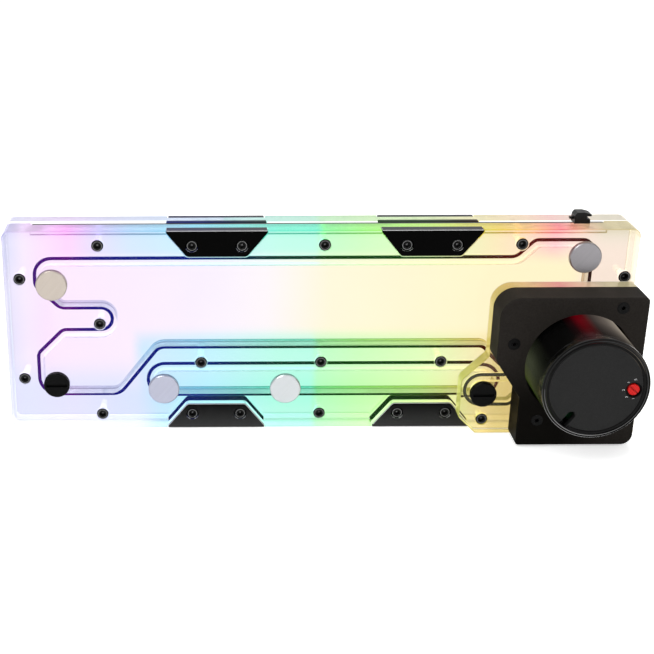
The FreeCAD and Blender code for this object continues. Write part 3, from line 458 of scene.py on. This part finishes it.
def finish(name, dark, light, scale, depth, roughness, metallic=0.0, level=0.5, caught=0.0):
    """Opaque finish: a fine grain and faint smudges between two colours and two roughnesses, with a painted glow of
    the strip's light where caught is set.
    """
    material = bpy.data.materials.new(name)
    tree = node_tree(material)
    shader = tree.nodes.new("ShaderNodeBsdfPrincipled")
    shader.inputs["Metallic"].default_value = metallic
    shader.inputs["Specular IOR Level"].default_value = level
    grain = use_group(tree, surface_grain, Scale=scale)
    tree.links.new(ramp_of(tree, grain["Grain"], (0.3, dark), (0.7, light)), shader.inputs["Base Color"])
    rough = ramp_of(tree, grain["Smudge"], (0.35, roughness[0]), (0.65, roughness[1]))
    tree.links.new(rough, shader.inputs["Roughness"])
    if caught:
        glow = use_group(tree, caught_light, Amount=caught)
        tree.links.new(glow["Colour"], shader.inputs["Emission Color"])
        shader.inputs["Emission Strength"].default_value = 1.0
    relief(tree, shader, grain["Grain"], 0.4, depth)
    close_tree(tree, shader.outputs[0])
    return material


def grey(value):
    """Neutral colour, as Blender's linear value."""
    return (value, value, value, 1.0)


cord_rubber = finish(
    "cord_rubber", (0.001, 0.001, 0.002, 1.0), (0.003, 0.003, 0.004, 1.0), 900.0, 0.00004, (0.5, 0.65),
    level=0.03, caught=0.10,
)
ring_rubber = finish("ring_rubber", grey(0.005), grey(0.012), 900.0, 0.00004, (0.5, 0.65))
dress(cord_rubber, "reservoir_seal", "channel_seal")
for name in ("reservoir_seal", "channel_seal"):
    pressed = nodes[name].modifiers.new("pressed_wide", "DISPLACE")
    pressed.strength = 0.00015
    pressed.mid_level = 0.0
dress(ring_rubber, "chamber_seal", "inlet_ring", "pump_ring", "port_rings")

# Light strip: thin black board that lies in the slot of the top edge, with white chips under it
# and a black moulded connector that stands up at its right end.
strip_board = finish("strip_board", (0.006, 0.008, 0.009, 1.0), grey(0.016), 1200.0, 0.00002, (0.3, 0.45))
connector = finish("connector_moulding", grey(0.001), grey(0.003), 1500.0, 0.00003, (0.28, 0.42), level=0.15)
dress(strip_board, "light_strip")
dress(connector, "light_connector")
chips = bpy.data.materials.new("lit_chips")
tree = node_tree(chips)
shader = tree.nodes.new("ShaderNodeBsdfPrincipled")
grain = use_group(tree, surface_grain, Scale=2000.0)
tree.links.new(ramp_of(tree, grain["Grain"], (0.3, grey(0.7)), (0.7, grey(0.85))), shader.inputs["Base Color"])
tree.links.new(ramp_of(tree, grain["Smudge"], (0.35, 0.25), (0.65, 0.35)), shader.inputs["Roughness"])
tree.links.new(use_group(tree, strip_colours, Strength=1.0)["Colour"], shader.inputs["Emission Color"])
shader.inputs["Emission Strength"].default_value = 0.8
close_tree(tree, shader.outputs[0])
dress(chips, "light_chips")

# Brackets: steel plates in the pockets of the long edges, coated satin black. A painted reflection of
# the bench greys their fronts towards the bottom, painted light lies on their upward faces and painted
# highlights on the lower walls of the screw holes. The front ones are screwed through the sheet into
# nut plates between the two sheets.
bracket_coat_and_painted_light = bpy.data.materials.new("bracket_coat_and_painted_light")
tree = node_tree(bracket_coat_and_painted_light)
shader = tree.nodes.new("ShaderNodeBsdfPrincipled")
shader.inputs["Specular IOR Level"].default_value = 0.02
grain = use_group(tree, surface_grain, Scale=1400.0)
x, y, z = place_in_part(tree)
height = formula(tree, "MULTIPLY", z, 1.0 / sheet_height)
# Painted reflection of the bench: the front faces grow greyer towards the bottom.
painted_bench_reflection = ramp_of(tree, height, (0.0, 0.045), (0.05, 0.026), (0.12, 0.004), (0.85, 0.0003), (1.0, 0.0003))
surface = tree.nodes.new("ShaderNodeNewGeometry")
facing = tree.nodes.new("ShaderNodeSeparateXYZ")
tree.links.new(surface.outputs["True Normal"], facing.inputs[0])
# Painted light on upward faces, a painted highlight on the slanting lower walls of the screw holes, and a faint
# painted glow of the sheet's light.
upward = formula(tree, "GREATER_THAN", facing.outputs["Z"], 0.4)
coat = blended(tree, upward, painted_bench_reflection, (0.060, 0.058, 0.066, 1.0))
slanting = formula(tree, "LESS_THAN", facing.outputs["Z"], 0.93)
coat = blended(tree, formula(tree, "MULTIPLY", upward, slanting), coat, grey(0.40))
speckle = ramp_of(tree, grain["Grain"], (0.3, 0.75), (0.7, 1.0))
glow = use_group(tree, caught_light, Amount=formula(tree, "MULTIPLY", upward, 0.02))
tree.links.new(glow["Colour"], shader.inputs["Emission Color"])
shader.inputs["Emission Strength"].default_value = 1.0
tree.links.new(times(tree, coat, speckle), shader.inputs["Base Color"])
tree.links.new(ramp_of(tree, grain["Smudge"], (0.35, 0.28), (0.65, 0.40)), shader.inputs["Roughness"])
relief(tree, shader, grain["Grain"], 0.4, 0.00003)
close_tree(tree, shader.outputs[0])
for place in ("top_left", "top_right", "bottom_left", "bottom_right"):
    dress(bracket_coat_and_painted_light, "front_bracket_" + place, "rear_bracket_" + place)
    mouths = nodes["front_bracket_" + place].modifiers.new("hole_mouths", "BEVEL")
    mouths.width = 0.00045
    mouths.segments = 2
    mouths.limit_method = "ANGLE"
    mouths.angle_limit = math.radians(60.0)
# The nut plates carry a faint painted glow of the sheet's light.
dress(
    finish("nut_plate_coat", grey(0.001), grey(0.003), 1400.0, 0.00003, (0.35, 0.5), level=0.05, caught=0.06),
    "nut_plates",
)

# Socket screws: blackened steel with knurled heads, with a painted highlight of pale metal in a narrow
# ring on each head face and a painted glint at the bottom of each socket, the threads cut up the shanks
# that show through the sheet. Flat ones hold the rear brackets and the pump.
pitch = 0.7
thread_cut, given, put = new_group("thread_cut", {"Pitch": pitch / 1000.0, "Grain": 0.5}, {"Height": "Float"})
x, y, z = place_in_part(thread_cut)
turns = formula(thread_cut, "PINGPONG", formula(thread_cut, "DIVIDE", y, given["Pitch"]), 0.5)
turns = formula(thread_cut, "MULTIPLY", turns, wall_mask(thread_cut))
thread_cut.links.new(
    formula(thread_cut, "ADD", turns, formula(thread_cut, "MULTIPLY", given["Grain"], 0.05)), put["Height"]
)


def blackened(name):
    """Blackened screw steel with thread lines along the shank."""
    material = bpy.data.materials.new(name)
    tree = node_tree(material)
    shader = tree.nodes.new("ShaderNodeBsdfPrincipled")
    shader.inputs["Metallic"].default_value = 0.8
    shader.inputs["Specular IOR Level"].default_value = 0.15
    grain = use_group(tree, surface_grain, Scale=1600.0)
    tree.links.new(ramp_of(tree, grain["Grain"], (0.3, 0.0028), (0.7, 0.0077)), shader.inputs["Base Color"])
    tree.links.new(ramp_of(tree, grain["Smudge"], (0.35, 0.26), (0.65, 0.38)), shader.inputs["Roughness"])
    cut = use_group(tree, thread_cut, Grain=grain["Grain"])
    relief(tree, shader, cut["Height"], 0.6, 0.0002)
    close_tree(tree, shader.outputs[0])
    return material


dress(blackened("black_steel_flat"), "rear_bracket_screws", "pump_plate_screws")
# Painted highlight: pale metal on the narrow head rings and the socket bottoms stands for glints.
painted_glint_steel = finish("head_steel_painted_glint", grey(0.09), grey(0.15), 1600.0, 0.00003, (0.35, 0.5), metallic=0.9)
thread_steel = blackened("black_steel_m4")
sides = 36


def screw_rings(head_y, end_y):
    """Rings of one M4 socket screw: shape, radius, place along the screw, painted glint or not."""
    neck = head_y + 3.6
    rings = [
        ("circle", 0.15, head_y + 2.5, False), ("circle", 0.6, head_y + 2.3, True),
        ("hexagon", 1.5, head_y + 2.2, False), ("hexagon", 1.5, head_y + 0.25, False),
        ("circle", 2.15, head_y, False), ("circle", 2.65, head_y, False), ("circle", 3.05, head_y + 0.05, True),
        ("circle", 3.62, head_y + 0.25, False), ("circle", 3.76, head_y + 0.5, False),
        ("knurled", 3.8, head_y + 0.8, False), ("knurled", 3.8, neck - 0.3, False),
        ("circle", 3.65, neck, False), ("circle", 2.05, neck, False), ("circle", 1.95, neck + 0.3, False),
    ]
    turn = neck + 0.6
    while turn < end_y - 0.9:
        rings.append(("circle", 1.98, turn, False))
        rings.append(("circle", 1.70, turn + pitch / 2.0, False))
        turn += pitch
    return rings + [("circle", 1.9, end_y - 0.6, False), ("circle", 1.4, end_y, False)]


def socket_screw(mesh, x, z, head_y, end_y):
    """Adds one socket screw along Y to the mesh, in millimetres, with its socket in the -Y end."""
    previous = []
    for shape, radius, depth, is_painted_glint in screw_rings(head_y, end_y):
        ring = []
        for number in range(sides):
            angle = 2.0 * math.pi * number / sides
            reach = radius
            if shape == "hexagon":
                reach = radius / math.cos((angle + math.pi / 6.0) % (math.pi / 3.0) - math.pi / 6.0)
            if shape == "knurled":
                reach = radius - 0.09 * (number % 2)
            place = (x + reach * math.cos(angle), depth, z + reach * math.sin(angle))
            ring.append(mesh.verts.new([value / 1000.0 for value in place]))
        for number in range(sides if previous else 0):
            after = (number + 1) % sides
            face = mesh.faces.new((previous[number], previous[after], ring[after], ring[number]))
            face.material_index = int(is_painted_glint)
            face.smooth = shape == "circle"
        if not previous:
            mesh.faces.new(ring)
        previous = ring
    mesh.faces.new(previous[::-1])


def screw_set(name, node, head_y, end_y, places):
    """One object with a screw at each (x, z), standing for a CAD node."""
    mesh = bmesh.new()
    for x, z in places:
        socket_screw(mesh, x, z, head_y, end_y)
    bmesh.ops.recalc_face_normals(mesh, faces=mesh.faces)
    data = bpy.data.meshes.new(name)
    mesh.to_mesh(data)
    mesh.free()
    piece = bpy.data.objects.new(name, data)
    scene.collection.objects.link(piece)
    piece.data.materials.append(thread_steel)
    piece.data.materials.append(painted_glint_steel)
    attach(piece, "plate_assembly")
    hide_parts(node)


sunk_head = 16.8
screw_set(
    "sheet_screws", "plate_screws", sunk_head, 45.5,
    (
        (-140.0, 126.2), (2.8, 126.2), (126.4, 126.2), (-190.0, 104.3), (193.0, 104.3), (-140.0, 73.6),
        (-190.0, 35.7), (-75.0, 46.5), (2.8, 46.5), (80.6, 46.5), (-140.0, 10.0), (2.8, 10.0),
    ),
)
bracket_row = (-80.75, -49.25, 54.25, 85.75)
screw_set(
    "bracket_screws", "front_bracket_screws", sunk_head, 38.5,
    [(x, z) for z in (126.0, 10.0) for x in bracket_row],
)
screw_set("block_fixing_screw", "block_screw", 6.6, 22.9, ((107.8, 10.0),))

# Port plugs: turned brass under flat bright plating, with the faint lines that the polishing left.
# The two others are coated black and slotted for a coin.
polish_lines, given, put = new_group("polish_lines", {"Angle": 0.9, "Scale": 700.0}, {"Streak": "Float"})
x, y, z = place_in_part(polish_lines)
sine = formula(polish_lines, "SINE", given["Angle"])
cosine = formula(polish_lines, "COSINE", given["Angle"])
across = formula(
    polish_lines, "SUBTRACT", formula(polish_lines, "MULTIPLY", x, sine), formula(polish_lines, "MULTIPLY", z, cosine)
)
down = formula(
    polish_lines, "ADD", formula(polish_lines, "MULTIPLY", x, cosine), formula(polish_lines, "MULTIPLY", z, sine)
)
joined = polish_lines.nodes.new("ShaderNodeCombineXYZ")
polish_lines.links.new(across, joined.inputs["X"])
polish_lines.links.new(formula(polish_lines, "MULTIPLY", down, 0.06), joined.inputs["Y"])
polish_lines.links.new(formula(polish_lines, "MULTIPLY", y, 0.5), joined.inputs["Z"])
lines = polish_lines.nodes.new("ShaderNodeTexNoise")
lines.inputs["Detail"].default_value = 2.0
polish_lines.links.new(joined.outputs[0], lines.inputs["Vector"])
polish_lines.links.new(given["Scale"], lines.inputs["Scale"])
polish_lines.links.new(lines.outputs["Fac"], put["Streak"])


def plated(name, dark, bright):
    """Bright plating whose polish lines run between two greys."""
    material = bpy.data.materials.new(name)
    tree = node_tree(material)
    shader = tree.nodes.new("ShaderNodeBsdfPrincipled")
    shader.inputs["Metallic"].default_value = 1.0
    streak = use_group(tree, polish_lines)["Streak"]
    tree.links.new(ramp_of(tree, streak, (0.1, dark), (0.9, bright)), shader.inputs["Base Color"])
    tree.links.new(ramp_of(tree, streak, (0.2, 0.30), (0.8, 0.34)), shader.inputs["Roughness"])
    relief(tree, shader, streak, 0.05, 0.00004)
    close_tree(tree, shader.outputs[0])
    return material


# Each plug's plating gets its own grey or tint, a painted reflection of what lies round it.
for name, dark, bright in (
    ("upper_left", srgb(0.635, 0.60, 0.565), srgb(0.665, 0.63, 0.595)),
    ("lower_left", srgb(0.595, 0.60, 0.655), srgb(0.625, 0.63, 0.685)),
    ("lower_middle", srgb(0.675, 0.685, 0.695), srgb(0.705, 0.715, 0.725)),
    ("upper_right", srgb(0.495, 0.485, 0.495), srgb(0.525, 0.515, 0.525)),
):
    dress(plated("plating_painted_reflection_" + name, dark, bright), "chrome_plug_" + name)
plug_coat = finish("plug_coat", grey(0.001), grey(0.003), 1500.0, 0.00002, (0.3, 0.42), level=0.05)
dress(plug_coat, "drain_plug", "block_plug")

# Inside the pump: moulded separating can, ceramic ball, impeller on its magnet drum, and outside
# the can the laminated core with its enamelled coils.
dress(finish("can_moulding", grey(0.02), grey(0.04), 1300.0, 0.00003, (0.35, 0.5)), "separating_can")
dress(finish("ball_ceramic", grey(0.72), grey(0.85), 1300.0, 0.00001, (0.06, 0.12)), "bearing_ball")
dress(finish("impeller_moulding", grey(0.015), grey(0.03), 1300.0, 0.00003, (0.35, 0.5)), "impeller")
magnet = finish("sintered_magnet", grey(0.05), grey(0.11), 900.0, 0.00005, (0.45, 0.6), metallic=0.8)
core_steel = finish("core_steel", grey(0.30), grey(0.48), 1500.0, 0.00004, (0.3, 0.45), metallic=1.0)
enamel = finish(
    "coil_enamel", (0.36, 0.11, 0.04, 1.0), (0.55, 0.21, 0.08, 1.0), 1500.0, 0.00005, (0.25, 0.35), metallic=1.0
)
board_mask = finish(
    "board_mask", (0.006, 0.07, 0.02, 1.0), (0.012, 0.12, 0.035, 1.0), 1500.0, 0.00002, (0.25, 0.4)
)
dress(magnet, "rotor_magnet")
dress(core_steel, "stator_core")
dress(enamel, "stator_coils")
dress(board_mask, "control_board")
dress(finish("component_moulding", grey(0.008), grey(0.015), 1500.0, 0.00002, (0.35, 0.5)), "board_components")

# Motor housing and end cap: gloss black turned shell with a bead round its front rim and a matt
# cap let into it, held by a black ring that is open at the cable notch. The shell and ring carry a
# painted reflection of the room in coloured bands round the axis, and the bead a painted highlight.
pump_x = 161.0
pump_z = 56.7
block_y = 6.3
notch_angle = 233.0


def gloss(name, front_share, *stops):
    """Gloss black with a painted reflection of the room in bands round the pump's axis, weaker towards the front."""
    material = bpy.data.materials.new(name)
    tree = node_tree(material)
    shader = tree.nodes.new("ShaderNodeBsdfPrincipled")
    shader.inputs["Specular IOR Level"].default_value = 0.07
    shader.inputs["Emission Strength"].default_value = 1.0
    grain = use_group(tree, surface_grain, Scale=300.0)
    tree.links.new(ramp_of(tree, grain["Grain"], (0.3, 0.001), (0.7, 0.002)), shader.inputs["Base Color"])
    tree.links.new(ramp_of(tree, grain["Smudge"], (0.35, 0.12), (0.65, 0.20)), shader.inputs["Roughness"])
    x, y, z = place_in_part(tree)
    right = formula(tree, "SUBTRACT", x, pump_x / 1000.0)
    up = formula(tree, "SUBTRACT", z, pump_z / 1000.0)
    turn = formula(tree, "ADD", formula(tree, "ARCTAN2", up, right), math.pi)
    turn = formula(tree, "MULTIPLY", turn, 0.5 / math.pi)
    fade = tree.nodes.new("ShaderNodeMapRange")
    fade.inputs["From Min"].default_value = -0.0450
    fade.inputs["From Max"].default_value = -0.0200
    fade.inputs["To Min"].default_value = front_share
    tree.links.new(y, fade.inputs["Value"])
    sides_only = formula(tree, "MULTIPLY", fade.outputs[0], wall_mask(tree))
    tree.links.new(times(tree, ramp_of(tree, turn, *stops), sides_only), shader.inputs["Emission Color"])
    relief(tree, shader, grain["Grain"], 0.3, 0.000003)
    close_tree(tree, shader.outputs[0])
    return material


# Painted reflections: olive at the lower left, beige at the right and a red streak near the top.
gloss_black_painted_sheen = gloss(
    "gloss_black_painted_sheen", 0.25,
    (0.00, (0.045, 0.052, 0.026, 1.0)), (0.04, (0.050, 0.058, 0.020, 1.0)), (0.08, (0.022, 0.040, 0.003, 1.0)),
    (0.12, 0.0), (0.55, 0.0), (0.60, (0.42, 0.36, 0.28, 1.0)), (0.64, (0.27, 0.235, 0.19, 1.0)),
    (0.69, (0.12, 0.10, 0.085, 1.0)), (0.735, (0.04, 0.030, 0.027, 1.0)), (0.757, (0.085, 0.003, 0.005, 1.0)),
    (0.775, (0.105, 0.0, 0.003, 1.0)), (0.798, (0.012, 0.0, 0.001, 1.0)), (0.82, 0.0), (0.905, 0.0),
    (0.94, (0.012, 0.014, 0.008, 1.0)), (0.975, (0.040, 0.046, 0.026, 1.0)),
)
# Painted highlight on the bead, brightest at its lower left.
bead_painted_highlight = gloss(
    "bead_painted_highlight", 1.0,
    (0.00, 0.05), (0.08, 0.14), (0.16, 0.26), (0.24, 0.34), (0.34, 0.20), (0.44, 0.10), (0.52, 0.06),
    (0.60, 0.03), (0.70, 0.015), (0.90, 0.015),
)


def turned_piece(name, profile, skipped=None, bright=()):
    """Turned shell round the pump's axis from (radius, length from the block) corners in millimetres, the faces after
    the corners listed in bright taking the bead's painted highlight.
    """
    steps = 144
    sharpest_bend = math.radians(35.0)
    mesh = bmesh.new()
    rings = []
    for number in range(steps):
        angle = math.radians(notch_angle) + 2.0 * math.pi * (number + 0.5) / steps - math.pi
        ring = []
        for radius, length in profile:
            corner = (pump_x + radius * math.cos(angle), block_y - length, pump_z + radius * math.sin(angle))
            ring.append(mesh.verts.new([value / 1000.0 for value in corner]))
        rings.append(ring)
    count = len(profile)
    for number in range(steps):
        if skipped and abs(number + 1 - steps / 2) < skipped:
            continue
        here, after = rings[number], rings[(number + 1) % steps]
        for corner in range(count):
            following = (corner + 1) % count
            face = mesh.faces.new((here[corner], here[following], after[following], after[corner]))
            face.smooth = True
            face.material_index = int(corner in bright)
    bmesh.ops.recalc_face_normals(mesh, faces=mesh.faces)
    for edge in mesh.edges:
        if len(edge.link_faces) == 2 and edge.calc_face_angle(0.0) > sharpest_bend:
            edge.smooth = False
    data = bpy.data.meshes.new(name)
    mesh.to_mesh(data)
    mesh.free()
    piece = bpy.data.objects.new(name, data)
    scene.collection.objects.link(piece)
    data.materials.append(gloss_black_painted_sheen)
    data.materials.append(bead_painted_highlight)
    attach(piece, "plate_assembly")
    return piece


motor_shell = turned_piece(
    "motor_shell",
    (
        (31.1, 0.0), (36.0, 0.0), (36.0, 5.6), (32.5, 5.6), (32.5, 50.2), (32.2, 50.4), (32.2, 50.9),
        (32.5, 51.1), (32.5, 54.5), (32.4, 55.0), (32.1, 55.4), (31.7, 55.5), (31.4, 55.3), (31.1, 55.3),
        (30.6, 55.75), (30.2, 55.8), (29.9, 55.6), (29.9, 51.4), (28.3, 51.4), (28.3, 49.9), (30.3, 49.9),
        (30.3, 2.0), (31.1, 2.0),
    ),
    bright=(9, 13),
)
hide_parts("motor_housing")
turned_piece(
    "cap_ring",
    ((28.0, 55.25), (28.15, 55.5), (28.5, 55.65), (29.3, 55.65), (29.7, 55.5), (29.85, 55.25)),
    skipped=3,
)
cap_moulding = finish("cap_moulding", grey(0.006), grey(0.010), 1500.0, 0.00004, (0.42, 0.55), level=0.12)
dress(cap_moulding, "end_cap")

# Speed dial: red moulding let into the cap, turned with a screwdriver.
dial_red = finish(
    "dial_red", srgb(0.66, 0.04, 0.03), srgb(0.78, 0.07, 0.05), 1500.0, 0.00003, (0.35, 0.45), level=0.2
)
dress(dial_red, "speed_dial")

# Dial numbers: five small figures printed in grey ink on the cap, round one side of the dial.
ink = finish("printing_ink", grey(0.42), grey(0.58), 2500.0, 0.00001, (0.5, 0.6))
figure_strokes = {
    "1": ((0.15, 1.1), (0.45, 1.4), (0.45, 0.0)),
    "2": ((0.0, 1.05), (0.1, 1.3), (0.4, 1.4), (0.7, 1.28), (0.78, 1.02), (0.62, 0.72), (0.0, 0.0), (0.8, 0.0)),
    "3": (
        (0.02, 1.2), (0.3, 1.4), (0.65, 1.34), (0.76, 1.08), (0.62, 0.82), (0.34, 0.74), (0.66, 0.66),
        (0.8, 0.38), (0.66, 0.1), (0.32, 0.0), (0.0, 0.2),
    ),
    "4": ((0.62, 0.0), (0.62, 1.4), (0.0, 0.42), (0.85, 0.42)),
    "5": (
        (0.72, 1.4), (0.14, 1.4), (0.06, 0.76), (0.4, 0.9), (0.72, 0.74), (0.8, 0.42), (0.64, 0.1), (0.32, 0.0),
        (0.0, 0.16),
    ),
}
figure_places = {"1": (23.0, -6.5), "2": (18.8, -5.4), "3": (16.4, -0.9), "4": (18.8, 4.0), "5": (22.9, 6.0)}
figure_middle = (0.4, 0.7)
half_stroke = 0.11
ink_y = -48.92
figures = bmesh.new()
for figure, (right, up) in figure_places.items():
    stroke = [Vector(corner) for corner in figure_strokes[figure]]
    before_sides = None
    for number, corner in enumerate(stroke):
        ahead = (stroke[min(number + 1, len(stroke) - 1)] - corner).normalized()
        behind = (corner - stroke[max(number - 1, 0)]).normalized()
        run = (ahead + behind).normalized() if (ahead + behind).length > 0.3 else ahead
        across = Vector((-run.y, run.x)) * half_stroke
        pair = []
        for side in (corner + across, corner - across):
            x = pump_x + right - (side.y - figure_middle[1])
            z = pump_z + up + (side.x - figure_middle[0])
            pair.append(figures.verts.new((x / 1000.0, ink_y / 1000.0, z / 1000.0)))
        if before_sides:
            figures.faces.new((before_sides[0], before_sides[1], pair[1], pair[0]))
        before_sides = pair
figures.normal_update()
bmesh.ops.reverse_faces(figures, faces=[face for face in figures.faces if face.normal.y > 0.0])
data = bpy.data.meshes.new("dial_numbers")
figures.to_mesh(data)
figures.free()
dial_numbers = bpy.data.objects.new("dial_numbers", data)
scene.collection.objects.link(dial_numbers)
data.materials.append(ink)
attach(dial_numbers, "plate_assembly")

# Pump plate: milled from black plastic, satin, with countersunk screws at its edge. A painted shade
# makes it deeper black towards its lower left corner, where no light of the sheet reaches it.
satin_black = finish(
    "satin_black", (0.014, 0.0120, 0.0105, 1.0), (0.020, 0.0175, 0.0155, 1.0), 1300.0, 0.00003, (0.45, 0.58),
    level=0.02,
)
tree = satin_black.node_tree
base = tree.nodes["Principled BSDF"].inputs["Base Color"]
x, y, z = place_in_part(tree)
# Painted shade: deeper black towards the lower left corner.
shaded = formula(tree, "MULTIPLY", inside_box(tree, x, z, 0.06, 0.185, -0.06, 0.062, 0.035), 0.9)
painted_shade_black = (0.0016, 0.0013, 0.0008, 1.0)
tree.links.new(blended(tree, shaded, base.links[0].from_socket, painted_shade_black), base)
dress(satin_black, "pump_plate")
